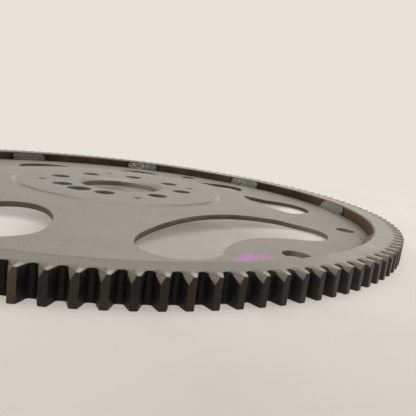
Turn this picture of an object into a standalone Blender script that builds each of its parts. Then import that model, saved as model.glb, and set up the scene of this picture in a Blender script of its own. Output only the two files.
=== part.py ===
# Flexplate: a pressed steel drive plate inside a toothed ring, held by nine fillet welds.
# Metres, +Z up, origin on the axis at the ring's lower face, which is what it rests on.
# Angles are in degrees, measured from the front (-Y) towards +X.
import bpy
import bmesh
from math import acos, atan2, cos, degrees, pi, radians, sin, tan
from mathutils import Vector

# Ring gear, with stub teeth: the pitch is that of 10 teeth per inch, the heights those of 12
TOOTH_COUNT = 135
PITCH_DIAMETER = 0.3429
TOOTH_ADDENDUM = 0.002117
TOOTH_DEDENDUM = 0.002646
PRESSURE_ANGLE = 20.0
TOOTH_BACKLASH = 0.00010
ROOT_FILLET = 0.00060
TOOTH_CLOCK = -8.54
RING_WIDTH = 0.0105
RIM_THICKNESS = 0.0100
RING_BORE_CHAMFER = 0.0005
# Lead-in chamfer on one flank at the upper end of each tooth
CHAMFER_DEPTH = 0.0029
CHAMFER_LAND = 0.0010

# Pressed plate
PLATE_THICKNESS = 0.0027
PLATE_FIT = 0.0003
PLATE_STANDOFF = 0.0008
PLATE_SEGMENTS = 60
HUB_STEP_RADIUS = 0.0646
HUB_STEP_WIDTH = 0.0013
HUB_STEP_HEIGHT = 0.0009
WEB_WIDTH = 0.0162
DISH_WIDTH = 0.0338
DISH_DEPTH = 0.0052
DISH_BEND = 0.060
BEND_STEPS = 2

# Bore, with a lip pressed down round it
BORE_RADIUS = 0.0247
LIP_WIDTH = 0.0033
LIP_DEPTH = 0.0023
LIP_BEND = 0.0035

# Holes in the hub
CRANK_CIRCLE_RADIUS = 0.0404
CRANK_HOLE_RADIUS = 0.0058
CRANK_HOLE_COUNT = 8
CRANK_HOLE_CLOCK = -12.5
DOWEL_HOLE_RADIUS = 0.0067
DOWEL_HOLE_CLOCK = -35.2
TOOLING_CIRCLE_RADIUS = 0.0486
TOOLING_HOLE_RADIUS = 0.0021
TOOLING_HOLE_COUNT = 4
TOOLING_HOLE_CLOCK = 11.3

# Round openings and bean-shaped windows, one of each in each sector. The land is the sheet left
# between each and the plate's rim; the belly and the nose are measured from the two lobes' tangents
SECTOR_COUNT = 3
SECTOR_CLOCK = -27.25
ROUND_RADIUS = 0.0239
ROUND_LAND = 0.0228
LOBE_RADIUS = 0.0187
LOBE_SPREAD = 20.1
WINDOW_LAND = 0.02105
WINDOW_BELLY = 0.0079
WINDOW_NOSE = 0.0150

# Holes in the flange, each with the sheet left between it and the plate's rim
CONVERTER_HOLE_RADIUS = 0.00635
CONVERTER_HOLE_LAND = 0.01125
CONVERTER_HOLE_CLOCK = 33.3
SIGHT_HOLE_RADIUS = 0.0055
SIGHT_HOLE_LAND = 0.0074
SIGHT_HOLE_CLOCK = 66.5

# How far the cutters reach past the plate, how near two corners are one, and how many straight
# steps make each round outline
CUT_MARGIN = 0.003
MERGE_DISTANCE = 0.00001
BOLT_HOLE_STEPS = 20
SMALL_HOLE_STEPS = 12
ROUND_OPENING_STEPS = 40
WINDOW_INNER_STEPS = 12
WINDOW_LOBE_STEPS = 10
WINDOW_NOSE_STEPS = 6

# Fillet welds between the ring's bore and the flange
WELD_COUNT = 9
WELD_LENGTH = 0.0305
WELD_TOE = 0.0046
WELD_CROWN = 0.0006
WELD_CROWN_SHARES = (0.2, 0.5, 0.8)
WELD_TOP_GAP = 0.0006
WELD_FIT = 0.0003
WELD_END_SIZE = 0.35
WELD_END_TAPER = 4
WELD_STATIONS = 9

# Edges that turn by more than this, in degrees, are shaded as corners
SHARP_ANGLE = 28.0
STEEL_METALLIC = 0.8

# Worked out from the sizes above
PITCH_RADIUS = PITCH_DIAMETER / 2
TOOTH_SPACING = pi * PITCH_DIAMETER / TOOTH_COUNT
TIP_RADIUS = PITCH_RADIUS + TOOTH_ADDENDUM
ROOT_RADIUS = PITCH_RADIUS - TOOTH_DEDENDUM
RING_BORE_RADIUS = ROOT_RADIUS - RIM_THICKNESS
TOOTH_PITCH = 360 / TOOTH_COUNT
PLATE_RADIUS = RING_BORE_RADIUS - PLATE_FIT
FLANGE_TOP = PLATE_STANDOFF + PLATE_THICKNESS
WEB_TOP = FLANGE_TOP + DISH_DEPTH
HUB_TOP = WEB_TOP + HUB_STEP_HEIGHT
WEB_INNER_RADIUS = HUB_STEP_RADIUS + HUB_STEP_WIDTH
DISH_INNER_RADIUS = WEB_INNER_RADIUS + WEB_WIDTH
LOBE_CENTRE_RADIUS = PLATE_RADIUS - WINDOW_LAND - LOBE_RADIUS
ROUND_CENTRE_RADIUS = PLATE_RADIUS - ROUND_LAND - ROUND_RADIUS
CONVERTER_CIRCLE_RADIUS = PLATE_RADIUS - CONVERTER_HOLE_LAND - CONVERTER_HOLE_RADIUS
SIGHT_CENTRE_RADIUS = PLATE_RADIUS - SIGHT_HOLE_LAND - SIGHT_HOLE_RADIUS
SECTOR = 360 / SECTOR_COUNT


def place(radius, angle, height=0.0):
    """A point from its radius, its angle from the front and its height."""
    turn = radians(angle)
    return Vector((radius * sin(turn), -radius * cos(turn), height))


def steel(name, colour, roughness):
    material = bpy.data.materials.new(name)
    material.use_nodes = True
    shader = material.node_tree.nodes["Principled BSDF"]
    shader.inputs["Base Color"].default_value = (*colour, 1.0)
    shader.inputs["Metallic"].default_value = STEEL_METALLIC
    shader.inputs["Roughness"].default_value = roughness
    return material


def new_object(name, bm):
    """Turns a bmesh into an object in the scene, with its faces pointing out."""
    bmesh.ops.recalc_face_normals(bm, faces=bm.faces)
    mesh = bpy.data.meshes.new(name)
    bm.to_mesh(mesh)
    bm.free()
    part = bpy.data.objects.new(name, mesh)
    bpy.context.collection.objects.link(part)
    return part


def dress(part, material):
    """Gives an object its material, and smooth shading that stops at its real edges."""
    part.data.materials.append(material)
    part.data.shade_smooth()
    part.data.set_sharp_from_angle(angle=radians(SHARP_ANGLE))


# Ring gear

def involute(angle):
    return tan(angle) - angle


def half_tooth_angle(radius):
    """Half of a tooth's thickness at a radius, as an angle about the ring's axis."""
    pressure = radians(PRESSURE_ANGLE)
    base_radius = PITCH_RADIUS * cos(pressure)
    thickness = TOOTH_SPACING / 2 - TOOTH_BACKLASH
    at_pitch = thickness / (2 * PITCH_RADIUS)
    return degrees(at_pitch + involute(pressure) - involute(acos(base_radius / radius)))


def flank_points():
    """Right flank of a tooth, tip to root, as radius and angle from the tooth's centre."""
    foot_radius = ROOT_RADIUS + ROOT_FILLET
    flank = [(radius, half_tooth_angle(radius)) for radius in (TIP_RADIUS, PITCH_RADIUS, foot_radius)]
    root_angle = flank[-1][1] + degrees(ROOT_FILLET / ROOT_RADIUS)
    return flank + [(ROOT_RADIUS, root_angle)]


def drop_onto_chamfer(point, corner, land, low):
    """Sets a point's height to that of the plane through three others."""
    normal = (land - corner).cross(low - corner)
    away = point - corner
    point.z = corner.z - (normal.x * away.x + normal.y * away.y) / normal.z


def tooth_sector(bm):
    """One tooth and the rim behind it, from its left root corner to the next tooth's."""
    right = flank_points()
    left = [(radius, -angle) for radius, angle in reversed(right)]
    next_root = (ROOT_RADIUS, TOOTH_PITCH - right[-1][1])
    outline = left + right + [next_root]
    tip = len(left) - 1

    foot_corner = place(*left[1], RING_WIDTH)
    land_angle = right[0][1] - degrees(CHAMFER_LAND / TIP_RADIUS)
    land_edge = place(TIP_RADIUS, land_angle, RING_WIDTH)
    low_corner = place(*left[tip], RING_WIDTH - CHAMFER_DEPTH)
    upper_points = [place(radius, angle, RING_WIDTH) for radius, angle in outline]
    for point in upper_points[2:tip + 1]:
        drop_onto_chamfer(point, foot_corner, land_edge, low_corner)
    lower = [bm.verts.new(place(radius, angle)) for radius, angle in outline]
    upper = [bm.verts.new(point) for point in upper_points]
    land = bm.verts.new(land_edge)

    wide = RING_BORE_RADIUS + RING_BORE_CHAMFER
    narrow = RING_BORE_RADIUS
    bore_section = ((wide, 0.0), (narrow, RING_BORE_CHAMFER),
                    (narrow, RING_WIDTH - RING_BORE_CHAMFER), (wide, RING_WIDTH))
    bore = []
    for angle in (outline[0][1], outline[-1][1]):
        bore.append([bm.verts.new(place(radius, angle, height)) for radius, height in bore_section])

    for i in range(len(outline) - 1):
        wall = [lower[i], lower[i + 1], upper[i + 1], upper[i]]
        if i == tip:
            wall.insert(3, land)
        bm.faces.new(wall)
    for i in range(len(bore_section) - 1):
        bm.faces.new([bore[1][i], bore[0][i], bore[0][i + 1], bore[1][i + 1]])
    bm.faces.new(lower[::-1] + [bore[0][0], bore[1][0]])
    bm.faces.new(upper[1:tip + 1] + [land])
    bm.faces.new(upper[:2] + [land] + upper[tip + 1:] + [bore[1][-1], bore[0][-1]])


def ring_gear():
    bm = bmesh.new()
    tooth_sector(bm)
    bmesh.ops.spin(bm, geom=bm.verts[:] + bm.edges[:] + bm.faces[:], axis=(0, 0, 1), cent=(0, 0, 0),
                   angle=radians(360 - TOOTH_PITCH), steps=TOOTH_COUNT - 1, use_duplicate=True)
    bmesh.ops.remove_doubles(bm, verts=bm.verts, dist=MERGE_DISTANCE)
    ring = new_object("ring_gear", bm)
    ring.rotation_euler.z = radians(TOOTH_CLOCK)
    dress(ring, steel("ring_steel", (0.20, 0.18, 0.16), 0.50))


# Pressed plate

def rounded(before, corner, after, bend, steps):
    """Points of the arc that rounds a corner of a (radius, height) path."""
    towards = (corner - before).normalized()
    onward = (after - corner).normalized()
    turn = towards.angle_signed(onward)
    reach = bend * tan(abs(turn) / 2)
    side = (onward - towards * cos(turn)).normalized()
    points = []
    for i in range(steps + 1):
        swept = abs(turn) * i / steps
        along = bend * sin(swept) - reach
        aside = bend * (1 - cos(swept))
        points.append(corner + towards * along + side * aside)
    return points


def upper_path():
    """Upper side of the plate's section, from the bore out to the rim."""
    corners = [
        (BORE_RADIUS, HUB_TOP - LIP_DEPTH),
        (BORE_RADIUS + LIP_WIDTH, HUB_TOP),
        (HUB_STEP_RADIUS, HUB_TOP),
        (WEB_INNER_RADIUS, WEB_TOP),
        (DISH_INNER_RADIUS, WEB_TOP),
        (DISH_INNER_RADIUS + DISH_WIDTH, FLANGE_TOP),
        (PLATE_RADIUS, FLANGE_TOP),
    ]
    corners = [Vector(corner) for corner in corners]
    bends = {1: LIP_BEND, 4: DISH_BEND, 5: DISH_BEND}
    path = []
    for i, corner in enumerate(corners):
        if i in bends:
            path += rounded(corners[i - 1], corner, corners[i + 1], bends[i], BEND_STEPS)
        else:
            path.append(corner)
    return path


def offset_down(path, thickness):
    """The same path on the other side of a sheet of even thickness, with upright cut ends."""
    ways = [after - before for before, after in zip(path, path[1:])]
    normals = [Vector((way.y, -way.x)).normalized() for way in ways]
    down = Vector((0, -1))
    moved = [path[0] + down * (thickness / down.dot(normals[0]))]
    for point, before, after in zip(path[1:], normals, normals[1:]):
        middle = (before + after).normalized()
        moved.append(point + middle * (thickness / middle.dot(before)))
    return moved + [path[-1] + down * (thickness / down.dot(normals[-1]))]


def arc(centre_x, centre_y, radius, start, end, steps):
    """Points round an arc, without its last one."""
    angles = [start + (end - start) * i / steps for i in range(steps)]
    return [(centre_x + radius * cos(a), centre_y + radius * sin(a)) for a in angles]


def window_outline():
    """Bean shape about the +X axis: two round lobes, a wide arc inside and a nose outside.

    Each arc runs into the next without a corner, so the radii of the inner arc and the nose
    follow from where they cross the axis.
    """
    lobe_x = LOBE_CENTRE_RADIUS * cos(radians(LOBE_SPREAD))
    lobe_y = LOBE_CENTRE_RADIUS * sin(radians(LOBE_SPREAD))
    inner = LOBE_RADIUS + WINDOW_BELLY
    inner_radius = (inner ** 2 + lobe_y ** 2 - LOBE_RADIUS ** 2) / (2 * WINDOW_BELLY)
    inner_x = lobe_x - inner + inner_radius
    inner_turn = atan2(lobe_y, lobe_x - inner_x)
    nose = LOBE_RADIUS - WINDOW_NOSE
    nose_radius = (nose ** 2 + lobe_y ** 2 - LOBE_RADIUS ** 2) / (2 * WINDOW_NOSE)
    nose_x = lobe_x + nose + nose_radius
    nose_turn = atan2(lobe_y, lobe_x - nose_x)
    outline = arc(inner_x, 0, inner_radius, 2 * pi - inner_turn, inner_turn, WINDOW_INNER_STEPS)
    outline += arc(lobe_x, lobe_y, LOBE_RADIUS, inner_turn, nose_turn - pi, WINDOW_LOBE_STEPS)
    outline += arc(nose_x, 0, nose_radius, nose_turn, 2 * pi - nose_turn, WINDOW_NOSE_STEPS)
    outline += arc(lobe_x, -lobe_y, LOBE_RADIUS, pi - nose_turn, -inner_turn, WINDOW_LOBE_STEPS)
    return outline


def prism(bm, outline, angle):
    """A closed upright cutter from an outline drawn about +X, turned to an angle from the front."""
    turn = radians(angle) - pi / 2
    points = [(x * cos(turn) - y * sin(turn), x * sin(turn) + y * cos(turn)) for x, y in outline]
    floor = bm.faces.new([bm.verts.new((x, y, -CUT_MARGIN)) for x, y in points])
    risen = bmesh.ops.extrude_face_region(bm, geom=[floor], use_keep_orig=True)
    top = [item for item in risen["geom"] if isinstance(item, bmesh.types.BMVert)]
    bmesh.ops.translate(bm, verts=top, vec=(0, 0, HUB_TOP + 2 * CUT_MARGIN))


def hole(bm, centre_radius, angle, radius, steps):
    prism(bm, arc(centre_radius, 0, radius, 0, 2 * pi, steps), angle)


def openings():
    """Every hole and window of the plate, as one cutter."""
    bm = bmesh.new()
    for i in range(CRANK_HOLE_COUNT):
        angle = CRANK_HOLE_CLOCK + i * 360 / CRANK_HOLE_COUNT
        hole(bm, CRANK_CIRCLE_RADIUS, angle, CRANK_HOLE_RADIUS, BOLT_HOLE_STEPS)
    hole(bm, CRANK_CIRCLE_RADIUS, DOWEL_HOLE_CLOCK, DOWEL_HOLE_RADIUS, BOLT_HOLE_STEPS)
    for i in range(TOOLING_HOLE_COUNT):
        angle = TOOLING_HOLE_CLOCK + i * 360 / TOOLING_HOLE_COUNT
        hole(bm, TOOLING_CIRCLE_RADIUS, angle, TOOLING_HOLE_RADIUS, SMALL_HOLE_STEPS)
    window = window_outline()
    for i in range(SECTOR_COUNT):
        swing = i * SECTOR
        hole(bm, ROUND_CENTRE_RADIUS, SECTOR_CLOCK + swing, ROUND_RADIUS, ROUND_OPENING_STEPS)
        prism(bm, window, SECTOR_CLOCK + SECTOR / 2 + swing)
        hole(bm, CONVERTER_CIRCLE_RADIUS, CONVERTER_HOLE_CLOCK + swing, CONVERTER_HOLE_RADIUS, BOLT_HOLE_STEPS)
    hole(bm, SIGHT_CENTRE_RADIUS, SIGHT_HOLE_CLOCK, SIGHT_HOLE_RADIUS, BOLT_HOLE_STEPS)
    cutter = new_object("openings", bm)
    cutter.hide_render = True
    cutter.display_type = "WIRE"
    return cutter


def cut_through(part, cutter):
    """Cuts one object with another, and leaves the result as the object's own mesh."""
    modifier = part.modifiers.new("openings", "BOOLEAN")
    modifier.operation = "DIFFERENCE"
    modifier.solver = "EXACT"
    modifier.object = cutter
    depsgraph = bpy.context.evaluated_depsgraph_get()
    cut_mesh = bpy.data.meshes.new_from_object(part.evaluated_get(depsgraph))
    part.modifiers.clear()
    part.data = cut_mesh
    bpy.data.objects.remove(cutter)


def pressed_plate():
    upper = upper_path()
    section = upper + offset_down(upper, PLATE_THICKNESS)[::-1]
    bm = bmesh.new()
    corners = [bm.verts.new((point.x, 0, point.y)) for point in section]
    edges = [bm.edges.new((corners[i - 1], corners[i])) for i in range(len(corners))]
    bmesh.ops.spin(bm, geom=corners + edges, axis=(0, 0, 1), cent=(0, 0, 0), angle=2 * pi,
                   steps=PLATE_SEGMENTS, use_merge=True)
    plate = new_object("pressed_plate", bm)
    cut_through(plate, openings())
    dress(plate, steel("plate_steel", (0.30, 0.28, 0.26), 0.45))


# Welds

def weld_section(size):
    """Section of a fillet in the corner of ring and flange, as (radius, height) points."""
    corner = Vector((RING_BORE_RADIUS - WELD_FIT, FLANGE_TOP + WELD_FIT))
    rise = RING_WIDTH - RING_BORE_CHAMFER - WELD_TOP_GAP - corner.y
    toe = corner + Vector((-WELD_TOE, 0)) * size
    top = corner + Vector((0, rise)) * size
    slope = (top - toe).normalized()
    outward = Vector((-slope.y, slope.x)) * WELD_CROWN * size
    crown = [toe.lerp(top, share) + outward for share in WELD_CROWN_SHARES]
    return [corner, toe] + crown + [top]


def weld(name, angle, material):
    """A bead along the ring's bore that tapers to a rounded stop at each end."""
    bm = bmesh.new()
    half_angle = degrees(WELD_LENGTH / 2 / RING_BORE_RADIUS)
    rings = []
    for i in range(WELD_STATIONS):
        swing = -cos(pi * i / (WELD_STATIONS - 1))
        size = WELD_END_SIZE + (1 - WELD_END_SIZE) * (1 - swing ** WELD_END_TAPER)
        section = weld_section(size)
        station = angle + swing * half_angle
        rings.append([bm.verts.new(place(point.x, station, point.y)) for point in section])
    for near, far in zip(rings, rings[1:]):
        for i in range(len(near)):
            bm.faces.new([near[i - 1], near[i], far[i], far[i - 1]])
    bm.faces.new(rings[0])
    bm.faces.new(rings[-1][::-1])
    dress(new_object(name, bm), material)


def welds():
    material = steel("weld_steel", (0.42, 0.41, 0.40), 0.40)
    for i in range(WELD_COUNT):
        weld(f"weld_{i + 1}", SECTOR_CLOCK + i * 360 / WELD_COUNT, material)


def main():
    for existing in list(bpy.data.objects):
        bpy.data.objects.remove(existing)
    ring_gear()
    pressed_plate()
    welds()


main()
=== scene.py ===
# Flexplate on a pale sweep: toothed ring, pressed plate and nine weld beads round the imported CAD
import bmesh
import bpy
from math import acos, atan2, cos, pi, radians, sin, sqrt, tan
from mathutils import Matrix, Vector, noise
from random import Random


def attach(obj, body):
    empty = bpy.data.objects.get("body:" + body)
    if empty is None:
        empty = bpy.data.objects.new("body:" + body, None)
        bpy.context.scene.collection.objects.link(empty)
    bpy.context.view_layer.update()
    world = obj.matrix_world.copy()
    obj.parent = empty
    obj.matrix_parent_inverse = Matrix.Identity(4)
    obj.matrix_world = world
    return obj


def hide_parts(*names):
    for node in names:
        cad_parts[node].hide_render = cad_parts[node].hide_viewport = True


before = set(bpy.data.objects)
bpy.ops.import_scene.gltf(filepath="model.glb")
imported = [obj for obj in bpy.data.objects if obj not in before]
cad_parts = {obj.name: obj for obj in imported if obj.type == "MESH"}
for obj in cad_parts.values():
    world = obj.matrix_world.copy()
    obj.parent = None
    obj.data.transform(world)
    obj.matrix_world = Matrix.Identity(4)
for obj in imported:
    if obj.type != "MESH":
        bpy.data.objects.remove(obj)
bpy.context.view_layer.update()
print("frame loaded:", len(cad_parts), "nodes")


def at(radius, angle, height=0.0):
    # angles run from the front (-Y) towards +X, in radians
    return Vector((radius * sin(angle), -radius * cos(angle), height))


def farOut(point):
    return sqrt(point.x ** 2 + point.y ** 2)


def onlyVerts(items):
    return [item for item in items if isinstance(item, bmesh.types.BMVert)]


def closedLoop(bm, places):
    # vertices at the places, and the edges that join them into a ring
    spots = [bm.verts.new(place) for place in places]
    return spots + [bm.edges.new((spots[i - 1], spots[i])) for i in range(len(spots))]


def meshFrom(name, bm):
    mesh = bpy.data.meshes.new(name)
    bm.to_mesh(mesh)
    bm.free()
    return mesh


def newObject(name, data):
    made = bpy.data.objects.new(name, data)
    bpy.context.collection.objects.link(made)
    return made


def smoothUpTo(mesh, degrees):
    mesh.shade_smooth()
    mesh.set_sharp_from_angle(angle=radians(degrees))


def finishMesh(name, bm, material, degrees):
    bmesh.ops.recalc_face_normals(bm, faces=bm.faces)
    mesh = meshFrom(name, bm)
    mesh.materials.append(material)
    smoothUpTo(mesh, degrees)
    return newObject(name, mesh)


def joinCad(piece, node):
    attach(piece, "root")
    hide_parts(node)


class Socket:
    # a value in a material or the world; arithmetic on it adds Math nodes
    def __init__(self, kit, link):
        self.kit = kit
        self.link = link

    def __add__(self, other):
        return self.kit.math("ADD", self, other)

    def __sub__(self, other):
        return self.kit.math("SUBTRACT", self, other)

    def __rsub__(self, other):
        return self.kit.math("SUBTRACT", other, self)

    def __mul__(self, other):
        return self.kit.math("MULTIPLY", self, other)

    def __truediv__(self, other):
        return self.kit.math("DIVIDE", self, other)

    def __neg__(self):
        return self.kit.math("MULTIPLY", self, -1.0)

    def __abs__(self):
        return self.kit.math("ABSOLUTE", self)

    __radd__ = __add__
    __rmul__ = __mul__


class NodeKit:
    # makes and joins the nodes of one material or of the world
    def __init__(self, tree):
        self.tree = tree

    def node(self, kind, settings=None, sockets=None, out=0):
        made = self.tree.nodes.new(kind)
        for key, value in (settings or {}).items():
            setattr(made, key, value)
        for key, value in (sockets or {}).items():
            if isinstance(value, Socket):
                self.tree.links.new(value.link, made.inputs[key])
            else:
                made.inputs[key].default_value = value
        return Socket(self, made.outputs[out])

    def math(self, operation, *values):
        return self.node("ShaderNodeMath", {"operation": operation}, dict(enumerate(values)))

    def vector(self, operation, *values):
        return self.node("ShaderNodeVectorMath", {"operation": operation}, dict(enumerate(values)))

    def length(self, vector):
        return self.node("ShaderNodeVectorMath", {"operation": "LENGTH"}, {0: vector}, out="Value")

    def part(self, vector, axis):
        return self.node("ShaderNodeSeparateXYZ", None, {0: vector}, out=axis)

    def chance(self, value):
        return self.node("ShaderNodeTexWhiteNoise", {"noise_dimensions": "1D"}, {"W": value}, out="Value")

    def ease(self, value, low, high):
        # 0 before low, 1 past high, smooth between; low may be the larger one
        return self.node("ShaderNodeMapRange", {"interpolation_type": "SMOOTHSTEP"},
                         {"Value": value, "From Min": low, "From Max": high}, out="Result")

    def band(self, value, low, high, soft):
        # 1 between low and high, 0 outside
        return self.ease(value, low - soft, low + soft) * self.ease(value, high + soft, high - soft)

    def mix(self, factor, first, second):
        colours = [value if isinstance(value, Socket) else (*value, 1.0) for value in (first, second)]
        return self.node("ShaderNodeMix", {"data_type": "RGBA"},
                         {0: factor, 6: colours[0], 7: colours[1]}, out=2)

    def shown(self):
        # 1 for what the camera sees, also in metal or through glass
        rays = self.node("ShaderNodeLightPath", out="Is Camera Ray")
        for ray in ("Is Glossy Ray", "Is Transmission Ray"):
            rays = self.math("MAXIMUM", rays, self.node("ShaderNodeLightPath", out=ray))
        return rays

    def toOutput(self, value, output):
        self.tree.links.new(value.link, self.tree.nodes[output].inputs["Surface"])


class Surface(NodeKit):
    # one material, with its Object coordinates and its normal's rise ready as sockets
    def __init__(self, name):
        self.material = bpy.data.materials.new(name)
        self.material.use_nodes = True
        super().__init__(self.material.node_tree)
        self.shader = self.tree.nodes["Principled BSDF"]
        self.place = self.node("ShaderNodeTexCoord", out="Object")
        self.x = self.part(self.place, "X")
        self.y = self.part(self.place, "Y")
        self.z = self.part(self.place, "Z")
        self.radius = self.length(self.vector("MULTIPLY", self.place, (1.0, 1.0, 0.0)))
        self.angle = self.math("ARCTAN2", self.x, -self.y)
        self.up = self.part(self.node("ShaderNodeTexCoord", out="Normal"), "Z")

    def noise(self, scale, detail, rough, stretch=None):
        where = self.place if stretch is None else self.vector("MULTIPLY", self.place, stretch)
        return self.node("ShaderNodeTexNoise", None,
                         {"Vector": where, "Scale": scale, "Detail": detail, "Roughness": rough}, out="Fac")

    def polarNoise(self, perTurn, perMetre, detail):
        # noise that runs round the axis, drawn on the angle's sine and cosine so that it has no seam
        around = self.node("ShaderNodeCombineXYZ", None, {
            0: self.math("SINE", self.angle) * perTurn,
            1: self.math("COSINE", self.angle) * perTurn,
            2: self.radius * perMetre + self.z * perMetre})
        return self.node("ShaderNodeTexNoise", None,
                         {"Vector": around, "Scale": 1.0, "Detail": detail}, out="Fac")

    def turned(self, low, high):
        # ease over the angle round the axis, in degrees from the front
        return self.ease(self.angle, radians(low), radians(high))

    def past(self, circle, low, high):
        # ease over the radius, counted outwards from a circle
        return self.ease(self.radius, circle + low, circle + high)

    def shares(self, clock, count):
        # counts equal shares of a full turn; the first one's middle is at the clock angle
        return (self.angle - clock) / (2 * pi / count) + 0.5

    def fold(self, clock, count):
        # -0.5 to 0.5 over each share, 0 at its middle
        return self.math("FRACT", self.shares(clock, count)) - 0.5

    def finish(self, colour, roughness, metallic, height, depth):
        self.connect("Base Color", colour)
        self.connect("Roughness", roughness)
        self.connect("Metallic", metallic)
        bump = self.node("ShaderNodeBump", None, {"Strength": 1.0, "Distance": depth, "Height": height})
        self.connect("Normal", bump)
        return self.material

    def connect(self, socket, value):
        if isinstance(value, Socket):
            self.tree.links.new(value.link, self.shader.inputs[socket])
        else:
            self.shader.inputs[socket].default_value = value


ringValues = {
    "teeth": 135,
    "pitchRadius": 0.17145,
    "tipRadius": 0.173567,
    "rootRadius": 0.168804,
    "boreRadius": 0.158804,
    "width": 0.0105,
    "module": 0.00254,
    "backlash": 0.0001,
    "pressure": radians(20),
    "fillet": 0.0017,
    "flankStops": (0, 0.33, 0.66, 1),           # shares of the way from the tip to the fillet
    "filletStops": (0.2, 0.4, 0.6, 0.8, 1.0),   # shares of the fillet's quarter turn
    "clock": radians(-8.54),                    # where the first tooth's middle stands
    "chamferDepth": 0.0027,
    "chamferLand": 0.0011,
    "chamferFoot": 3,                           # point of the left flank, counted from its foot
    "boreRound": (0.0017, 5),                   # sizes of bevels, each with its segments
    "boreChamfer": (0.0005, 2),
    "edgeBreak": (0.00016, 1),
    "rimBend": 1.0,                             # edges that bend more, in radians, are bevelled
    "toothBend": 0.75,
    "margin": 0.001,                            # how near to a circle counts as on it
    "merge": 0.00001,
    "smoothUpTo": 20,                           # degrees; a sharper bend shows as an edge
    # noises, each as scale, detail and roughness
    "patches": (55.0, 4.0, 0.6),
    "grain": (900.0, 3.0, 0.6),
    "fine": (3200.0, 2.0, 0.5),
    "rust": (230.0, 3.0, 0.6),
    "turning": (3.0, 5200.0, 2.0),              # per turn, per metre, detail
    "bumpDepth": 0.00012,
    # colours; a pair runs from a pattern's dark end to its light end
    "tones": {
        "face": ((0.180, 0.163, 0.133), (0.236, 0.219, 0.184)),
        "facePits": (0.15, 0.13, 0.10),
        "faceHighlight": (0.45, 0.44, 0.395),
        "faceLitRight": ((0.300, 0.283, 0.250), (0.395, 0.380, 0.345)),
        "faceShoulderShade": (0.135, 0.118, 0.096),
        "faceBesideChamfer": ((0.070, 0.057, 0.041), (0.130, 0.111, 0.084)),
        "flank": ((0.034, 0.034, 0.0336), (0.055, 0.0530, 0.0500)),
        "flankGapShade": (0.0160, 0.0160, 0.0159),
        "flankLit": ((0.130, 0.108, 0.080), (0.230, 0.198, 0.152)),
        "flankTopLit": (0.150, 0.122, 0.095),
        "land": ((0.011, 0.0090, 0.0077), (0.030, 0.0225, 0.015)),
        "landTan": (0.085, 0.060, 0.034),
        "landLitTips": (0.088, 0.075, 0.057),
        "landFoot": (0.050, 0.032, 0.018),
        "landLitRight": ((0.090, 0.074, 0.054), (0.160, 0.136, 0.104)),
        "landBlotch": (0.045, 0.035, 0.024),
        "wall": ((0.034, 0.0235, 0.0190), (0.066, 0.0460, 0.0350)),
        "wallTan": (0.140, 0.088, 0.046),
        "wallBlack": (0.009, 0.007, 0.006),
        "underside": (0.20, 0.18, 0.15),
        "slantShaded": ((0.155, 0.131, 0.096), (0.245, 0.212, 0.163)),
        "slantLit": ((0.100, 0.086, 0.065), (0.200, 0.177, 0.140)),
        "slantLitRight": (0.190, 0.172, 0.141),
        "slantFootShade": (0.045, 0.036, 0.028),
        "slantRust": (0.135, 0.085, 0.036),
        "slantFarShade": (0.018, 0.0135, 0.010),
        "rim": ((0.105, 0.090, 0.070), (0.250, 0.225, 0.185)),
        "rimFarShade": (0.050, 0.040, 0.031),
    },
}


def halfTooth(radius):
    # half a tooth's angle at a radius, on an involute
    v = ringValues
    base = v["pitchRadius"] * cos(v["pressure"])
    turn = acos(base / radius)
    thickness = pi * v["module"] / 2 - v["backlash"]
    atPitch = thickness / (2 * v["pitchRadius"])
    spread = tan(v["pressure"]) - v["pressure"]
    return atPitch + spread - (tan(turn) - turn)


def toothFlank():
    # right flank from the tip to the root, as radius and angle from the tooth's middle
    v = ringValues
    foot = v["rootRadius"] + v["fillet"]
    radii = [v["tipRadius"] + (foot - v["tipRadius"]) * stop for stop in v["flankStops"]]
    flank = [(radius, halfTooth(radius)) for radius in radii]
    footAngle = flank[-1][1]
    for stop in v["filletStops"]:
        out = v["fillet"] * (1 - cos(stop * pi / 2))
        down = v["fillet"] * sin(stop * pi / 2)
        flank.append((foot - down, footAngle + out / v["rootRadius"]))
    return flank


def toothBlank(bm):
    # one tooth with the rim behind it, as a solid slice
    v = ringValues
    right = toothFlank()
    left = [(radius, -angle) for radius, angle in reversed(right)]
    start = left[0][1]
    end = start + 2 * pi / v["teeth"]
    outline = left + right + [(v["rootRadius"], end), (v["boreRadius"], end), (v["boreRadius"], start)]
    floorFace = bm.faces.new([bm.verts.new(at(*spot)) for spot in outline])
    grown = bmesh.ops.extrude_face_region(bm, geom=[floorFace], use_keep_orig=True)
    top = onlyVerts(grown["geom"])
    bmesh.ops.translate(bm, verts=top, vec=(0, 0, v["width"]))
    return left, right, top


def cutLeadIn(bm, left, right, top):
    # slanted chamfer over the left of the tooth's upper end, from its foot to a narrow land
    v = ringValues
    tip, width, half = v["tipRadius"], v["width"], right[0][1]
    places = at(tip, -half, width), at(tip, half, width), at(*left[v["chamferFoot"]], width)
    tipLeft, tipRight, foot = (min(top, key=lambda vert: (vert.co - place).length) for place in places)
    tipEdge = bm.edges.get((tipLeft, tipRight))
    land = bmesh.utils.edge_split(tipEdge, tipLeft, 0.5)[1]
    land.co = at(tip, half - v["chamferLand"] / tip, width)
    bmesh.ops.connect_verts(bm, verts=[foot, land])
    low = at(tip, -half, width - v["chamferDepth"])
    slope = (land.co - foot.co).cross(low - foot.co)
    beyondFoot = farOut(foot.co) + v["merge"]
    for vert in top:
        if atan2(vert.co.x, -vert.co.y) < 0 and farOut(vert.co) > beyondFoot:
            away = vert.co - foot.co
            vert.co.z = foot.co.z - (slope.x * away.x + slope.y * away.y) / slope.z


def isCutWall(face):
    # the slice's two sides, which the next slices cover
    v = ringValues
    reach = [farOut(vert.co) for vert in face.verts]
    upright = abs(face.normal.z) < 0.5
    fromBore = min(reach) < v["boreRadius"] + v["margin"]
    toTeeth = max(reach) > v["rootRadius"] - v["margin"]
    return upright and fromBore and toTeeth


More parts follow.
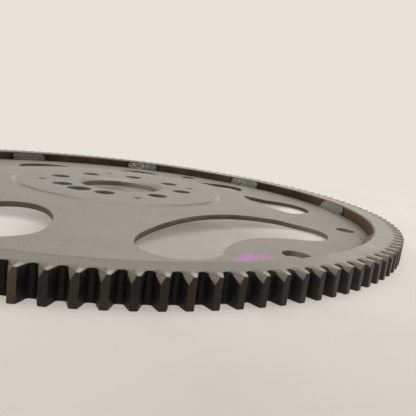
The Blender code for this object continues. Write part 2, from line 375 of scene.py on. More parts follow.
def sharpEdges(bm, bend):
    return [edge for edge in bm.edges if edge.is_manifold and edge.calc_face_angle() > bend]


def bevelEdges(bm, edges, size, segments):
    bmesh.ops.bevel(bm, geom=edges, offset=size, offset_type="OFFSET", affect="EDGES",
                    segments=segments, profile=0.5, material=-1, clamp_overlap=False)


def ringGear(material):
    v = ringValues
    bm = bmesh.new()
    left, right, top = toothBlank(bm)
    cutLeadIn(bm, left, right, top)
    bm.normal_update()
    bmesh.ops.delete(bm, geom=[face for face in bm.faces if isCutWall(face)], context="FACES_ONLY")
    bmesh.ops.spin(bm, geom=bm.verts[:] + bm.edges[:] + bm.faces[:], axis=(0, 0, 1), cent=(0, 0, 0),
                   angle=2 * pi - 2 * pi / v["teeth"], steps=v["teeth"] - 1, use_duplicate=True)
    bmesh.ops.remove_doubles(bm, verts=bm.verts, dist=v["merge"])
    bmesh.ops.recalc_face_normals(bm, faces=bm.faces)
    bore = v["boreRadius"] + v["margin"]
    boreRims = [edge for edge in sharpEdges(bm, v["rimBend"])
                if max(farOut(vert.co) for vert in edge.verts) < bore]
    upperRim = [edge for edge in boreRims if edge.verts[0].co.z > v["width"] / 2]
    lowerRim = [edge for edge in boreRims if edge not in upperRim]
    bevelEdges(bm, upperRim, *v["boreRound"])
    bevelEdges(bm, lowerRim, *v["boreChamfer"])
    root = v["rootRadius"] - v["margin"]
    toothEdges = [edge for edge in sharpEdges(bm, v["toothBend"])
                  if min(farOut(vert.co) for vert in edge.verts) > root]
    bevelEdges(bm, toothEdges, *v["edgeBreak"])
    bmesh.ops.rotate(bm, verts=bm.verts, cent=(0, 0, 0), matrix=Matrix.Rotation(v["clock"], 3, "Z"))
    return finishMesh("ringGear", bm, material, v["smoothUpTo"])


def ringSteel():
    v = ringValues
    tones = v["tones"]
    s = Surface("ringSteel")
    across = s.fold(v["clock"], v["teeth"])     # 0 at a tooth's middle, 0.5 in the middle of a gap
    chance = s.chance(s.math("FLOOR", s.shares(v["clock"], v["teeth"])))
    patches = s.noise(*v["patches"])
    grain = s.noise(*v["grain"])
    fine = s.noise(*v["fine"])
    top = s.ease(s.up, 0.75, 0.95)
    slopes = s.band(s.up, 0.25, 0.58, 0.04)
    rims = s.band(s.up, 0.60, 0.84, 0.04)
    litRightHand = s.ease(s.x, 0.03, 0.10)
    onTeeth = s.past(v["rootRadius"], -0.0016, -0.0002)
    onBody = s.past(v["rootRadius"], -0.0040, -0.0050)
    tipLand = s.past(v["tipRadius"], -0.00035, -0.00012)

    face = s.mix(patches, *tones["face"])
    pits = s.ease(grain, 0.55, 0.72) * 0.35
    face = s.mix(pits, face, tones["facePits"])
    nearTip = s.past(v["rootRadius"], 0.0002, 0.0024)
    # painted highlight on the top face near each tooth's tip
    highlightSpot = s.band(across, 0.02, 0.20, 0.05) * nearTip * (0.5 + 0.5 * chance)
    face = s.mix(highlightSpot * s.ease(fine, 0.25, 0.50), face, tones["faceHighlight"])
    # painted light: the top face is paler on the right hand
    pale = s.mix(s.ease(patches, 0.30, 0.70), *tones["faceLitRight"])
    face = s.mix(litRightHand * 0.85, face, pale)
    # painted shade along the top face's rounded inner edge, except on the right hand
    shoulderShade = s.past(v["boreRadius"], 0.0042, 0.0016) * s.ease(s.x, 0.05, 0.0) * 0.4
    face = s.mix(shoulderShade, face, tones["faceShoulderShade"])
    # the top face is darker on the chamfered side of each tooth's end
    besideChamfer = s.ease(across, 0.05, -0.05) * s.past(v["rootRadius"], -0.0016, 0.0008) * 0.8
    face = s.mix(besideChamfer, face, s.mix(grain, *tones["faceBesideChamfer"]))

    flank = s.mix(s.ease(grain, 0.35, 0.7), *tones["flank"])
    # painted shade on the flanks deep in the gaps, towards the root
    gapShade = s.past(v["rootRadius"], 0.0014, 0.0004) * 0.85
    flank = s.mix(gapShade, flank, tones["flankGapShade"])
    # painted light on the flanks of the teeth on the right hand
    litFlank = s.turned(56, 82) * s.turned(118, 92)
    flank = s.mix(litFlank, flank, s.mix(grain, *tones["flankLit"]))
    # painted light on the upper end of the flanks, past the front
    litUpperFlank = s.ease(s.z, 0.0080, 0.0098) * s.turned(8, 30) * 0.85
    flank = s.mix(litUpperFlank, flank, tones["flankTopLit"])

    land = s.mix(s.ease(chance, 0.1, 0.9), *tones["land"])
    tanTips = s.band(s.angle, radians(-10.4), radians(-7.5), radians(0.6))
    land = s.mix(tanTips, land, tones["landTan"])
    # painted light on the tip lands past the front
    litTips = s.turned(14, 36) * 0.7
    land = s.mix(litTips, land, tones["landLitTips"])
    lowerEnd = s.ease(s.z, 0.0040, 0.0006) * 0.5
    land = s.mix(lowerEnd, land, tones["landFoot"])
    # painted light on the tip lands on the right hand
    litRightLand = s.turned(28, 62) * s.turned(150, 120)
    land = s.mix(litRightLand, land, s.mix(grain, *tones["landLitRight"]))
    blotches = s.ease(patches + grain * 0.4, 0.6, 1.0)
    land = s.mix(blotches, land, tones["landBlotch"])

    wall = s.mix(s.ease(patches, 0.35, 0.7), *tones["wall"])
    tanned = s.turned(114, 92) * s.ease(s.x, 0.02, 0.06)
    wall = s.mix(tanned, wall, tones["wallTan"])
    # painted shade on the inner wall on the left hand
    leftWallShade = s.ease(s.x, -0.050, -0.072) * 0.6
    wall = s.mix(leftWallShade, wall, tones["wallBlack"])
    # the wall is blacker where a bead ends, from heat scale and painted shade
    alongBead = s.fold(weldValues["clock"], weldValues["count"])
    beadEndScaleAndShade = s.band(abs(alongBead), 0.134, 0.150, 0.007) * 0.7
    wall = s.mix(beadEndScaleAndShade, wall, tones["wallBlack"])

    # the teeth's lead-in chamfers, in a shaded and a lit copy of their colour, with painted light on the
    # right hand
    slantLit = s.mix(grain, *tones["slantLit"])
    slantLit = s.mix(s.turned(16, 34), slantLit, tones["slantLitRight"])
    slanted = s.mix(s.turned(4, 26), s.mix(grain, *tones["slantShaded"]), slantLit)
    # painted shade on the lower part of the chamfers
    slantFootShade = s.ease(s.z, 0.0095, 0.0080) * 0.5
    slanted = s.mix(slantFootShade, slanted, tones["slantFootShade"])
    rusty = s.ease(s.noise(*v["rust"]), 0.56, 0.68) * 0.6
    slanted = s.mix(rusty, slanted, tones["slantRust"])
    # painted shade on the chamfers and edge rounds of the far teeth
    farSideShade = s.turned(86, 102) * s.turned(160, 138)
    slanted = s.mix(farSideShade * 0.85, slanted, tones["slantFarShade"])
    slant = slopes * onTeeth * (1 - 0.85 * tipLand)

    # painted light: the edge rounds are lighter on the right hand
    rim = s.mix(litRightHand, *tones["rim"])
    rim = s.mix(farSideShade * onTeeth * 0.6, rim, tones["rimFarShade"])
    colour = s.mix(onTeeth, s.mix(onBody, tones["underside"], wall), s.mix(tipLand, flank, land))
    colour = s.mix(rims, colour, rim)
    colour = s.mix(slant, colour, slanted)
    colour = s.mix(top, colour, face)

    roughness = 0.52 - 0.12 * top + (grain - 0.5) * 0.25 - 0.1 * highlightSpot
    dark = onTeeth * (1 - tipLand) * (1 - slant) * (1 - top) * (1 - litFlank)
    metallic = 0.6 - 0.1 * top - 0.35 * slant * (1 - top) + 0.32 * dark + 0.34 * onBody * (1 - top)
    height = s.polarNoise(*v["turning"]) * top * 0.5 + grain * 0.7 + fine * 0.35
    return s.finish(colour, roughness, metallic, height, v["bumpDepth"])


plateValues = {
    "thickness": 0.0027,
    "boreRadius": 0.0247,
    "lipRadius": 0.0280,
    "lipDepth": 0.0023,
    "stepInner": 0.0646,
    "stepOuter": 0.0659,
    "dishInner": 0.0821,
    "dishOuter": 0.1159,
    "rimRadius": 0.158504,
    "flangeTop": 0.0035,
    "webTop": 0.0087,
    "hubTop": 0.0096,
    # radius and steps of the bend at each corner of the section
    "bends": {1: (0.0035, 6), 2: (0.0010, 3), 3: (0.0012, 3), 4: (0.060, 8), 5: (0.060, 8)},
    "spinSteps": 180,
    "edgeRound": 0.00035,
    "cornerShare": 0.3,                 # of the edge round, where a corner's middle point stands
    # how deep in the sheet and how far out the rings of a cutter stand, in edge rounds
    "cutProfile": ((-1, 2.0), (0.25, 0.27), (1, 0.0)),
    "cutterEnds": (-0.004, 0.016),
    "smoothUpTo": 28,
    # circle radius, first angle, count, hole radius, sides
    "holes": {
        "crank": (0.0404, -12.5, 8, 0.0058, 40),
        "dowel": (0.0404, -35.2, 1, 0.0067, 40),
        "tooling": (0.0486, 11.3, 4, 0.0021, 24),
        "round": (0.111804, -27.25, 3, 0.0239, 96),
        "converter": (0.140904, 33.3, 3, 0.00635, 40),
        "sight": (0.145604, 66.5, 1, 0.0055, 40),
    },
    # the bean-shaped windows
    "window": {
        "count": 3,
        "clock": radians(32.75),
        "lobeCentre": 0.118754,
        "lobeSpread": radians(20.1),
        "lobeRadius": 0.0187,
        "belly": 0.0079,
        "nose": 0.0150,
        "steps": (28, 28, 16, 28),
        "merge": 0.00005,
    },
    # a smear of marker pen, on two slanted axes
    "pen": {
        "middle": (0.0545, -0.1275),
        "along": (1.145, 0.283),
        "across": (1.122, 0.366),
        "shift": (0.0016, 0.0009),
        "halfLength": 0.0102,
        "halfWidth": 0.0057,
        "taper": 0.28,
        "frayNoise": (420.0, 4.0, 0.65),
        "fray": 1.8,
    },
    # noises, each as scale, detail and roughness
    "broad": (14.0, 3.0, 0.5),
    "patches": (70.0, 4.0, 0.6),
    "grain": (1100.0, 3.0, 0.6),
    "fine": (4200.0, 2.0, 0.5),
    "rolled": (1.0, 3.0, 0.6, (60.0, 1800.0, 60.0)),
    "blush": (36.0, 3.0, 0.55),
    "stain": (120.0, 4.0, 0.65),
    "rust": (260.0, 3.0, 0.6),
    "flecks": (380.0, 3.0, 0.6),
    "bumpDepth": 0.00014,
    # colours; a pair runs from a pattern's dark end to its light end
    "tones": {
        "sheet": ((0.244, 0.226, 0.196), (0.302, 0.282, 0.249)),
        "dull": (0.205, 0.187, 0.158),
        "blush": (0.268, 0.232, 0.210),
        "pits": (0.14, 0.125, 0.102),
        "rolled": (0.33, 0.315, 0.285),
        "outside": (0.13, 0.112, 0.090),
        "stain": (0.20, 0.128, 0.074),
        "rust": (0.310, 0.205, 0.125),
        "stepHighlight": (0.56, 0.54, 0.49),
        "stepShade": (0.16, 0.155, 0.155),
        "pen": (0.43, 0.205, 0.395),
        "wall": ((0.060, 0.048, 0.036), (0.110, 0.092, 0.070)),
        "wallNearRightLit": (0.265, 0.205, 0.148),
        "wallFarRightShade": (0.030, 0.023, 0.017),
        "wallFarShade": (0.024, 0.019, 0.014),
        "wallTooling": (0.120, 0.100, 0.076),
        "wallCrank": (0.110, 0.114, 0.120),
        "wallFlecks": ((0.080, 0.070, 0.058), (0.340, 0.310, 0.265)),
        "wallRust": (0.165, 0.105, 0.070),
        "wallBoreShading": ((0.078, 0.068, 0.050), (0.215, 0.190, 0.160)),
    },
}


def roundedPath(corners, bends):
    path = []
    for i, corner in enumerate(corners):
        if i not in bends:
            path.append(corner)
            continue
        bend, steps = bends[i]
        towards = (corner - corners[i - 1]).normalized()
        onward = (corners[i + 1] - corner).normalized()
        turn = abs(towards.angle_signed(onward))
        side = (onward - towards * cos(turn)).normalized()
        for step in range(steps + 1):
            swept = turn * step / steps
            along = bend * sin(swept) - bend * tan(turn / 2)
            path.append(corner + towards * along + side * bend * (1 - cos(swept)))
    return path


def upperPath():
    # upper side of the sheet from the bore to the rim, as radius and height
    v = plateValues
    corners = [(v["boreRadius"], v["hubTop"] - v["lipDepth"]), (v["lipRadius"], v["hubTop"]),
               (v["stepInner"], v["hubTop"]), (v["stepOuter"], v["webTop"]), (v["dishInner"], v["webTop"]),
               (v["dishOuter"], v["flangeTop"]), (v["rimRadius"], v["flangeTop"])]
    return roundedPath([Vector(corner) for corner in corners], v["bends"])


def lowerPath(path):
    # the same path a sheet's thickness below, with upright ends
    ways = [(after - before).normalized() for before, after in zip(path, path[1:])]
    normals = [Vector((way.y, -way.x)) for way in ways]
    thickness = plateValues["thickness"]
    down = Vector((0, -1))
    moved = [path[0] + down * (thickness / down.dot(normals[0]))]
    for point, before, after in zip(path[1:], normals, normals[1:]):
        middle = (before + after).normalized()
        moved.append(point + middle * (thickness / middle.dot(before)))
    return moved + [path[-1] + down * (thickness / down.dot(normals[-1]))]


def heightOn(path, radius):
    for before, after in zip(path, path[1:]):
        if before.x <= radius <= after.x:
            share = (radius - before.x) / (after.x - before.x)
            return before.y + (after.y - before.y) * share
    return path[0].y if radius < path[0].x else path[-1].y


def plateSection(upper, lower):
    # closed section with its outer corners broken
    small = plateValues["edgeRound"]
    part = small * plateValues["cornerShare"]
    section = [upper[0] + Vector((0, -small)), upper[0] + Vector((part, 0)),
               upper[0] + (upper[1] - upper[0]).normalized() * small]
    section += upper[1:-1]
    section += [upper[-1] + Vector(step) for step in ((-small, 0), (-part, -part), (0, -small))]
    section += [lower[-1] + Vector(step) for step in ((0, small), (-part, part), (-small, 0))]
    section += lower[1:-1][::-1]
    section += [lower[0] + (lower[1] - lower[0]).normalized() * small, lower[0] + Vector((0, small))]
    return section


def beanOutline(bm):
    # two lobes, a belly and a nose that run into each other; each arc is spun from the last one's end
    v = plateValues["window"]
    lobe = v["lobeRadius"]
    lobeX = v["lobeCentre"] * cos(v["lobeSpread"])
    lobeY = v["lobeCentre"] * sin(v["lobeSpread"])
    inner = lobe + v["belly"]
    innerRadius = (inner ** 2 + lobeY ** 2 - lobe ** 2) / (2 * v["belly"])
    innerX = lobeX - inner + innerRadius
    innerTurn = atan2(lobeY, lobeX - innerX)
    nose = lobe - v["nose"]
    noseRadius = (nose ** 2 + lobeY ** 2 - lobe ** 2) / (2 * v["nose"])
    noseX = lobeX + nose + noseRadius
    noseTurn = atan2(lobeY, lobeX - noseX)
    lobeSweep = innerTurn - (noseTurn - pi)
    arcs = [(innerX, 0, 2 * innerTurn - 2 * pi), (lobeX, lobeY, -lobeSweep),
            (noseX, 0, 2 * (pi - noseTurn)), (lobeX, -lobeY, -lobeSweep)]
    end = bm.verts.new((innerX + innerRadius * cos(innerTurn), -innerRadius * sin(innerTurn), 0))
    for (centreX, centreY, sweep), steps in zip(arcs, v["steps"]):
        arc = bmesh.ops.spin(bm, geom=[end], axis=(0, 0, 1), cent=(centreX, centreY, 0),
                             angle=sweep, steps=steps)
        end = onlyVerts(arc["geom_last"])[0]
    bmesh.ops.remove_doubles(bm, verts=bm.verts, dist=v["merge"])
    return bmesh.ops.contextual_create(bm, geom=bm.edges[:])["faces"][0]


def holeOutline(bm, centreRadius, radius, sides):
    bmesh.ops.create_circle(bm, cap_ends=True, radius=radius, segments=sides,
                            matrix=Matrix.Translation((centreRadius, 0, 0)))
    return bm.faces[:][0]


def raiseCutter(bm, face, turn, upper, lower):
    # grows an outline into a cutter that widens where it meets each side of the sheet
    small = plateValues["edgeRound"]
    profile = plateValues["cutProfile"]
    bottom, top = plateValues["cutterEnds"]
    widest = profile[0][1]
    levels = [(None, bottom, widest)]
    levels += [(lower, small * deep, flare) for deep, flare in profile]
    levels += [(upper, -small * deep, flare) for deep, flare in reversed(profile)]
    levels += [(None, top, widest)]
    rings = [list(face.verts)]
    for _ in levels[1:]:
        grown = bmesh.ops.extrude_face_region(bm, geom=[face])
        if len(rings) > 1:
            bmesh.ops.delete(bm, geom=[face], context="FACES_ONLY")
        rings.append(onlyVerts(grown["geom"]))
        bmesh.ops.translate(bm, verts=rings[-1], vec=(0, 0, 0.001))     # the heights are set below
        face = [item for item in grown["geom"] if isinstance(item, bmesh.types.BMFace)][0]
    bmesh.ops.recalc_face_normals(bm, faces=bm.faces)
    bm.normal_update()
    outward = [[Vector((v.normal.x, v.normal.y, 0)).normalized() for v in ring] for ring in rings]
    for ring, ways, (path, height, flare) in zip(rings, outward, levels):
        for v, way in zip(ring, ways):
            v.co += way * small * flare
            v.co.z = height if path is None else heightOn(path, farOut(v.co)) + height
    bmesh.ops.rotate(bm, verts=bm.verts, cent=(0, 0, 0), matrix=Matrix.Rotation(turn - pi / 2, 3, "Z"))


def addCutter(whole, outline, turn, upper, lower):
    bm = bmesh.new()
    raiseCutter(bm, outline(bm), turn, upper, lower)
    mesh = meshFrom("cutter", bm)
    whole.from_mesh(mesh)
    bpy.data.meshes.remove(mesh)


def allCutters(upper, lower):
    whole = bmesh.new()
    for centreRadius, first, count, radius, sides in plateValues["holes"].values():
        for i in range(count):
            turn = radians(first + i * 360 / count)
            addCutter(whole, lambda bm: holeOutline(bm, centreRadius, radius, sides), turn, upper, lower)
    window = plateValues["window"]
    for i in range(window["count"]):
        addCutter(whole, beanOutline, window["clock"] + i * 2 * pi / window["count"], upper, lower)
    bmesh.ops.recalc_face_normals(whole, faces=whole.faces)
    return newObject("cutters", meshFrom("cutters", whole))


def pressedPlate(material):
    v = plateValues
    upper = upperPath()
    lower = lowerPath(upper)
    bm = bmesh.new()
    section = closedLoop(bm, [(point.x, 0, point.y) for point in plateSection(upper, lower)])
    bmesh.ops.spin(bm, geom=section, axis=(0, 0, 1), cent=(0, 0, 0), angle=2 * pi,
                   steps=v["spinSteps"], use_merge=True)
    plate = finishMesh("pressedPlate", bm, material, v["smoothUpTo"])
    cutters = allCutters(upper, lower)
    punch = plate.modifiers.new("punch", "BOOLEAN")
    punch.operation = "DIFFERENCE"
    punch.solver = "EXACT"
    punch.object = cutters
    cut = bpy.data.meshes.new_from_object(plate.evaluated_get(bpy.context.evaluated_depsgraph_get()))
    plate.modifiers.clear()
    plate.data = cut
    smoothUpTo(cut, v["smoothUpTo"])
    bpy.data.objects.remove(cutters)
    return plate


def penMark(s):
    # how far the smear of pen covers the sheet; it thins out to the right
    pen = plateValues["pen"]
    x = s.x - pen["middle"][0]
    y = s.y - pen["middle"][1]
    along = x * pen["along"][0] - y * pen["along"][1]
    across = y * pen["across"][0] - x * pen["across"][1] - pen["shift"][1]
    reach = (along - pen["shift"][0]) / pen["halfLength"]
    spread = across / (pen["halfWidth"] - along * pen["taper"])
    edge = reach * reach * abs(reach) + spread * spread * abs(spread)
    edge = edge + (s.noise(*pen["frayNoise"]) - 0.5) * pen["fray"]
    return s.ease(edge, 1.45, 0.25) * (0.95 - 0.45 * s.ease(along, -0.003, 0.010))


def plateSteel():
    v = plateValues
    tones = v["tones"]
    s = Surface("plateSteel")
    patches = s.noise(*v["patches"])
    grain = s.noise(*v["grain"])
    fine = s.noise(*v["fine"])
    flat = s.ease(abs(s.up), 0.55, 0.85)

    sheet = s.mix(s.noise(*v["broad"]), *tones["sheet"])
    dull = s.ease(patches, 0.50, 0.75) * 0.30
    sheet = s.mix(dull, sheet, tones["dull"])
    blush = s.ease(s.noise(*v["blush"]), 0.52, 0.70) * 0.35
    sheet = s.mix(blush, sheet, tones["blush"])
    pits = s.ease(grain, 0.58, 0.75) * 0.30
    sheet = s.mix(pits, sheet, tones["pits"])
    rolled = s.ease(s.noise(*v["rolled"]), 0.62, 0.75) * 0.16
    sheet = s.mix(rolled, sheet, tones["rolled"])
    # darker at the foot of the ring's wall, from dirt and painted shade
    outside = s.ease(s.radius, 0.1500, 0.1575) * 0.6
    sheet = s.mix(outside, sheet, tones["outside"])
    stain = s.ease(s.noise(*v["stain"]), 0.57, 0.72) * s.band(s.radius, 0.033, 0.052, 0.005) * 0.55
    sheet = s.mix(stain, sheet, tones["stain"])
    # tan rust round the tooling holes
    circle, first, count, hole = v["holes"]["tooling"][:4]
    sideways = s.fold(radians(first), count) * (2 * pi * circle / count)
    outwards = s.radius - circle
    away = sideways * sideways + outwards * outwards
    rust = s.ease(away, (hole + 0.0050) ** 2, hole ** 2) * s.ease(s.noise(*v["rust"]), 0.38, 0.58) * 0.6
    sheet = s.mix(rust, sheet, tones["rust"])
    # painted highlight on the hub's step at the sides, and painted shade on it in front
    step = s.band(s.radius, v["stepInner"] - 0.0004, v["stepOuter"] + 0.0003, 0.0003)
    stepHighlight = step * s.ease(abs(s.x), 0.030, 0.060) * s.ease(s.y, -0.040, -0.020) * 0.45
    sheet = s.mix(stepHighlight, sheet, tones["stepHighlight"])
    stepShade = s.ease(s.y, -0.025, -0.045) * (0.5 + 0.3 * s.ease(s.x, -0.02, 0.02))
    sheet = s.mix(step * stepShade, sheet, tones["stepShade"])
    sheet = s.mix(penMark(s), sheet, tones["pen"])

    # walls of the openings
    wall = s.mix(s.ease(patches, 0.35, 0.65), *tones["wall"])
    # painted light on the walls of the openings on the near right
    litNearRight = s.ease(s.x, 0.090, 0.115) * s.ease(s.y, -0.02, -0.05) * 0.6
    wall = s.mix(litNearRight, wall, tones["wallNearRightLit"])
    # painted shade on the walls of the openings on the far right
    farRightShade = s.ease(s.x, 0.070, 0.100) * s.ease(s.y, -0.04, -0.01) * 0.35
    wall = s.mix(farRightShade, wall, tones["wallFarRightShade"])
    # painted shade on the far walls of the openings
    farWallShade = s.ease(s.y, 0.03, 0.08) * 0.55
    wall = s.mix(farWallShade, wall, tones["wallFarShade"])
    onTooling = s.ease(s.radius, 0.056, 0.050)
    wall = s.mix(onTooling, wall, tones["wallTooling"])
    onCrank = s.ease(s.radius, 0.0476, 0.0466)
    wall = s.mix(onCrank, wall, tones["wallCrank"])
    flecks = s.mix(s.noise(*v["flecks"]), *tones["wallFlecks"])
    rightFlecks = s.ease(s.x, 0.105, 0.125) * 0.75
    flecks = s.mix(rightFlecks, flecks, tones["wallRust"])
    onFlange = s.ease(s.radius, 0.134, 0.138) * s.ease(s.y, 0.03, -0.02)
    wall = s.mix(onFlange, wall, flecks)
    # painted shade on the bore's wall on the left, painted light on it on the right
    boreWallShading = s.mix(s.ease(s.x, -0.004, 0.014), *tones["wallBoreShading"])
    onBore = s.ease(s.radius, 0.0285, 0.0270)
    wall = s.mix(onBore, wall, boreWallShading)

    roughness = 0.50 + (grain - 0.5) * 0.3 + (patches - 0.5) * 0.2
    metallic = 0.2 + 0.3 * flat
    height = grain * 0.6 + fine * 0.4 + patches * 1.2
    return s.finish(s.mix(flat, wall, sheet), roughness, metallic, height, v["bumpDepth"])


weldValues = {
    "count": 9,
    "clock": radians(-27.25),
    "length": 0.0305,
    "toe": 0.0055,
    "rise": 0.0069,
    "crown": 0.0006,
    "corner": (0.1594, 0.0033),
    "stations": 76,
    "across": 9,
    "ripple": 0.0019,
    "rippleDepth": 0.000308,
    "rippleBow": 0.0009,
    "wobbles": ((420.0, 0.07), (900.0, 0.05)),  # pace and size
    # from here on, pairs are a least value and what is added to it at most
    "endSize": (0.42, 0.58),
    "endPull": (0.985, 0.015),
    "endBluntness": 12,
    "fullness": 0.955,
    "seed": 40,
    "spatter": 8,
    "spatterSize": (0.00022, 0.00038),
    "spatterRadius": (0.1580, -0.0065),
    "spatterReach": (0.96, 0.34),               # in half lengths of the bead
    "spatterLift": 0.3,                         # in radii of the ball
    "smoothUpTo": 60,
    # noises, each as scale, detail and roughness
    "patches": (520.0, 4.0, 0.65),
    "grain": (1500.0, 3.0, 0.6),
    "fine": (5000.0, 2.0, 0.5),
    "tan": (330.0, 3.0, 0.6),
    "metallic": 0.5,
    "bumpDepth": 0.00025,
    # colours; a pair runs from a pattern's dark end to its light end
    "tones": {
        "silver": ((0.012, 0.0100, 0.0075), (0.225, 0.212, 0.178)),
        "pits": (0.018, 0.016, 0.013),
        "tan": (0.110, 0.078, 0.048),
        "stopEnd": ((0.030, 0.033, 0.033), (0.092, 0.099, 0.099)),
        "shadedLeftHand": (0.022, 0.0165, 0.0115),
        "litRightHand": ((0.290, 0.256, 0.210), (0.243, 0.258, 0.256)),    # of a bead's body and its stop end
    },
}


def beadSection():
    # fillet's corner, and its face from the toe to the top, as radius and height
    v = weldValues
    corner = Vector(v["corner"])
    toe = corner + Vector((-v["toe"], 0))
    top = corner + Vector((0, v["rise"]))
    outward = Vector((-v["rise"], v["toe"])).normalized()
    face = []
    for i in range(v["across"]):
        share = i / (v["across"] - 1)
        face.append(toe.lerp(top, share) + outward * v["crown"] * 4 * share * (1 - share))
    return corner, face


def valueAt(pair, share):
    return pair[0] + pair[1] * share


def addSpatter(bm, draw, start, half):
    # small balls on the flange beyond a bead's end
    v = weldValues
    for _ in range(v["spatter"]):
        size = valueAt(v["spatterSize"], draw.random() ** 2)
        radius = valueAt(v["spatterRadius"], draw.random())
        angle = start + half * valueAt(v["spatterReach"], draw.random())
        spot = at(radius, angle, plateValues["flangeTop"] + size * v["spatterLift"])
        bmesh.ops.create_icosphere(bm, subdivisions=1, radius=size, matrix=Matrix.Translation(spot))


def weldBead(index, material):
    v = weldValues
    middle = v["clock"] + index * 2 * pi / v["count"]
    half = v["length"] / 2 / v["corner"][0]
    corner, face = beadSection()
    bm = bmesh.new()
    section = closedLoop(bm, [at(point.x, middle - half, point.y) for point in [corner] + face])
    bmesh.ops.spin(bm, geom=section, axis=(0, 0, 1), cent=(0, 0, 0), angle=2 * half, steps=v["stations"])
    bmesh.ops.holes_fill(bm, edges=[edge for edge in bm.edges if edge.is_boundary])
    draw = Random(v["seed"] + index)
    phase = draw.random() * 10
    for vert in bm.verts:
        away = (atan2(vert.co.x, -vert.co.y) - middle + pi) % (2 * pi) - pi
        offset = Vector((farOut(vert.co), vert.co.z)) - corner
        lean = offset.y / v["rise"] * 2 - 1
        run = away * v["corner"][0] + v["rippleBow"] * (1 - lean * lean)
        wave = (run / v["ripple"] + phase) % 1.0
        wobble = sum(noise.noise(vert.co * pace) * size for pace, size in v["wobbles"])
        end = sqrt(max(0.0, 1 - min(1.0, abs(away / half)) ** v["endBluntness"]))
        size = valueAt(v["endSize"], end) * (v["fullness"] + wobble)
        size -= v["rippleDepth"] / v["toe"] * (1 - wave)
        moved = corner + offset * min(size, 1.0)
        vert.co = at(moved.x, middle + away * valueAt(v["endPull"], end), moved.y)
    addSpatter(bm, draw, middle, half)
    return finishMesh("weldBead" + str(index + 1), bm, material, v["smoothUpTo"])


def weldSteel():
    v = weldValues
    tones = v["tones"]
    s = Surface("weldSteel")
    patches = s.noise(*v["patches"])
    grain = s.noise(*v["grain"])
    fine = s.noise(*v["fine"])
    # the stop end of each bead is the smooth, bluish one
    stopEnd = s.ease(s.fold(v["clock"], v["count"]), -0.020, -0.072)
    silver = s.mix(s.ease(patches, 0.40, 0.62), *tones["silver"])
    pits = s.ease(grain, 0.5, 0.7) * 0.6
    silver = s.mix(pits, silver, tones["pits"])
    tanned = s.mix(s.ease(s.noise(*v["tan"]), 0.48, 0.62), silver, tones["tan"])
    bluish = s.mix(s.ease(patches, 0.3, 0.7), *tones["stopEnd"])
    colour = s.mix(stopEnd, tanned, bluish)
    # painted shade on the beads on the left hand, painted light on those on the right hand
    shadedLeftHand = s.ease(s.x, -0.02, -0.07) * 0.75
    colour = s.mix(shadedLeftHand, colour, tones["shadedLeftHand"])
    litRightHand = s.ease(s.x, 0.10, 0.14) * 0.4
    colour = s.mix(litRightHand, colour, s.mix(stopEnd, *tones["litRightHand"]))
    roughness = 0.50 + (grain - 0.5) * 0.3
    height = grain * (1.0 - 0.6 * stopEnd) + fine * 0.5
    return s.finish(colour, roughness, v["metallic"], height, v["bumpDepth"])


stageValues = {
    "floorColour": (0.81, 0.784, 0.720),
    "mottleAndShadowColour": (0.34, 0.310, 0.265),
    "farColour": (0.80, 0.770, 0.705),
    "farEdge": (0.06, 0.42),            # of the far colour, in metres to the back
    "plainEdge": (0.42, 0.80),          # and in metres from the middle
    # middle, core, edge and strength of each painted shadow on the floor
    "shadowSpots": (((0.025, -0.092, 0.0), 0.020, 0.095, 0.80), ((0.0, 0.042, 0.0), 0.014, 0.045, 0.85),
                 ((0.108, 0.044, 0.0), 0.020, 0.041, 0.75), ((0.088, -0.072, 0.0), 0.010, 0.050, 0.35),
                 ((0.005, -0.330, 0.0), 0.030, 0.320, 0.42)),
    # noises, each as scale, detail and roughness
    "blotches": (26.0, 3.0, 0.55),
    "clouds": (9.0, 4.0, 0.55),
    "grain": (90.0, 3.0, 0.5),
    "roughness": 0.85,
    "bumpDepth": 0.0004,
    "glow": 0.52,
    "halfWidth": 3.0,
    "front": -1.6,
    "sweepStart": 1.0,
    "sweepRadius": 1.1,
    "sweepSteps": 24,
    "wallTop": 2.6,
    "smoothUpTo": 30,
    # size, place, target, watts and colour
    "lamps": {
        "softOverhead": (1.6, (0.15, 0.25, 1.5), (0, 0.1, 0), 15, (1.0, 0.985, 0.955)),
        "softFront": (1.2, (-0.3, -1.7, 1.0), (0, 0, 0), 4, (1.0, 0.985, 0.96)),
        "softRight": (0.9, (1.5, -0.15, 0.6), (0, 0, 0), 7, (1.0, 0.985, 0.96)),
        "softLeft": (0.9, (-1.4, -0.6, 0.7), (0, 0, 0), 5, (1.0, 0.985, 0.96)),
    },
    "domeColour": (0.98, 0.985, 1.0),
    "domeStrength": 0.26,
}


def sweepFloor():
    v = stageValues
    bm = bmesh.new()
    start = bm.verts.new((-v["halfWidth"], v["front"], 0))
    bend = bm.verts.new((-v["halfWidth"], v["sweepStart"], 0))
    bm.edges.new((start, bend))
    arc = bmesh.ops.spin(bm, geom=[bend], axis=(1, 0, 0), cent=(0, v["sweepStart"], v["sweepRadius"]),
                         angle=pi / 2, steps=v["sweepSteps"])
    last = onlyVerts(arc["geom_last"])[0]
    high = bm.verts.new((-v["halfWidth"], last.co.y, v["wallTop"]))
    bm.edges.new((last, high))
    grown = bmesh.ops.extrude_edge_only(bm, edges=bm.edges[:])
    bmesh.ops.translate(bm, verts=onlyVerts(grown["geom"]), vec=(2 * v["halfWidth"], 0, 0))
    floor = finishMesh("paleSweep", bm, paleFloor(), v["smoothUpTo"])


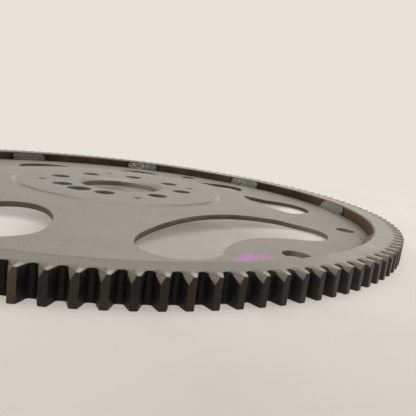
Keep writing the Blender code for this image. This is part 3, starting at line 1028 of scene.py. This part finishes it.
def paleFloor():
    # lit near the part, and far off a plain pale tone for what is seen or mirrored
    v = stageValues
    s = Surface("paleFloor")
    far = s.math("MAXIMUM", s.ease(s.y, *v["farEdge"]), s.ease(s.length(s.place), *v["plainEdge"]))
    blotch = (s.noise(*v["blotches"]) - 0.5) * 0.05
    clouds = s.ease(s.noise(*v["clouds"]), 0.35, 0.70) * (1 - far) * 0.10
    tone = s.mix(clouds, v["floorColour"], v["mottleAndShadowColour"])
    tone = s.mix(far, tone, v["farColour"])
    # painted shadows on the floor round and under the part
    for middle, core, edge, strength in v["shadowSpots"]:
        away = s.length(s.vector("SUBTRACT", s.place, middle))
        tone = s.mix(s.ease(away + blotch, edge, core) * strength, tone, v["mottleAndShadowColour"])
    s.finish(tone, v["roughness"], 0.0, s.noise(*v["grain"]), v["bumpDepth"])
    glow = s.node("ShaderNodeEmission", None, {"Color": tone, "Strength": 1.0})
    share = s.shown() * (v["glow"] + (1 - v["glow"]) * far)
    lit = Socket(s, s.shader.outputs[0])
    s.toOutput(s.node("ShaderNodeMixShader", None, {0: share, 1: lit, 2: glow}), "Material Output")
    return s.material


def areaLamp(name, size, spot, target, watts, colour):
    data = bpy.data.lights.new(name, "AREA")
    data.shape = "DISK"
    data.size = size
    data.energy = watts
    data.color = colour
    lamp = newObject(name, data)
    lamp.location = spot
    lamp.rotation_euler = (Vector(target) - Vector(spot)).to_track_quat("-Z", "Y").to_euler()


def background(kit, colour, strength):
    return kit.node("ShaderNodeBackground", None, {"Color": (*colour, 1.0), "Strength": strength})


def lights():
    v = stageValues
    for name, lamp in v["lamps"].items():
        areaLamp(name, *lamp)
    world = bpy.data.worlds.new("softRoom")
    world.use_nodes = True
    kit = NodeKit(world.node_tree)
    dome = background(kit, v["domeColour"], v["domeStrength"])
    pale = background(kit, v["farColour"], 1.0)
    kit.toOutput(kit.node("ShaderNodeMixShader", None, {0: kit.shown(), 1: dome, 2: pale}), "World Output")
    bpy.context.scene.world = world


cameraValues = {
    "spot": (0.0, -0.28378, 0.05164),
    "yaw": 0.2106,
    "pitch": 0.1809,
    "roll": 0.1298,
    "focalPixels": 422.23,
    "frameWidth": 416,
    "sensor": 36.0,
    "clipStart": 0.005,
}


def photoCamera():
    v = cameraValues
    level = Vector((cos(v["yaw"]), -sin(v["yaw"]), 0))
    ahead = cos(v["pitch"])
    forward = Vector((sin(v["yaw"]) * ahead, cos(v["yaw"]) * ahead, -sin(v["pitch"])))
    upright = level.cross(forward)
    right = level * cos(v["roll"]) + upright * sin(v["roll"])
    up = upright * cos(v["roll"]) - level * sin(v["roll"])
    data = bpy.data.cameras.new("photoCamera")
    data.sensor_width = v["sensor"]
    data.lens = v["focalPixels"] / v["frameWidth"] * v["sensor"]
    data.clip_start = v["clipStart"]
    camera = newObject("photoCamera", data)
    turn = Matrix((right, up, -forward)).transposed().to_4x4()
    camera.matrix_world = Matrix.Translation(v["spot"]) @ turn
    bpy.context.scene.camera = camera


joinCad(ringGear(ringSteel()), "ring_gear")
print("ring gear made")
joinCad(pressedPlate(plateSteel()), "pressed_plate")
print("pressed plate made")
beadSteel = weldSteel()
for index in range(weldValues["count"]):
    joinCad(weldBead(index, beadSteel), "weld_" + str(index + 1))
print("weld beads made")
sweepFloor()
lights()
photoCamera()
bpy.context.scene.view_settings.view_transform = "Standard"
print("floor, light and camera made")
